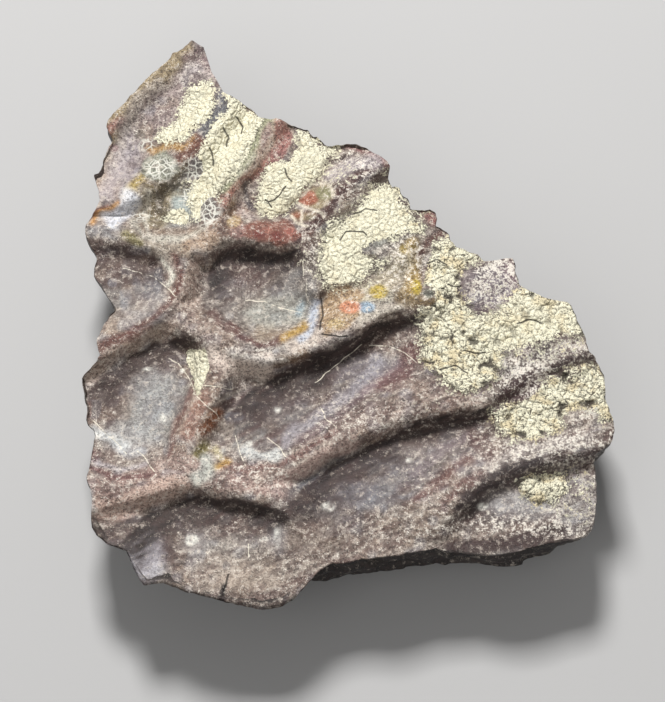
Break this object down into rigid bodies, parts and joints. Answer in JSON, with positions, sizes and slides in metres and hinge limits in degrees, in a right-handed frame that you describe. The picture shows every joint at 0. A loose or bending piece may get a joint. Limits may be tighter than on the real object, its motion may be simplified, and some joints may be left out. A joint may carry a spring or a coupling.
{
  "type": "metoposaurus dermal scute",
  "caption": "Broken plate of petrified amphibian dermal bone with radiating ridges and hollows, partly crusted with cream matrix, lying face up",
  "frame": {"origin": "centre of the bounding box in plan, at the level of the surface the plate rests on", "axes": "+Z out of the sculptured face, +Y up the plate towards its pointed corner, +X to the right seen from the face"},
  "size_m": [0.0762, 0.0868, 0.0176],
  "materials": {
    "petrified_bone": "matte, slightly polished on the ridges"
  },
  "bodies": {
    "root": {"scute": "petrified_bone"}
  },
  "joints": []
}
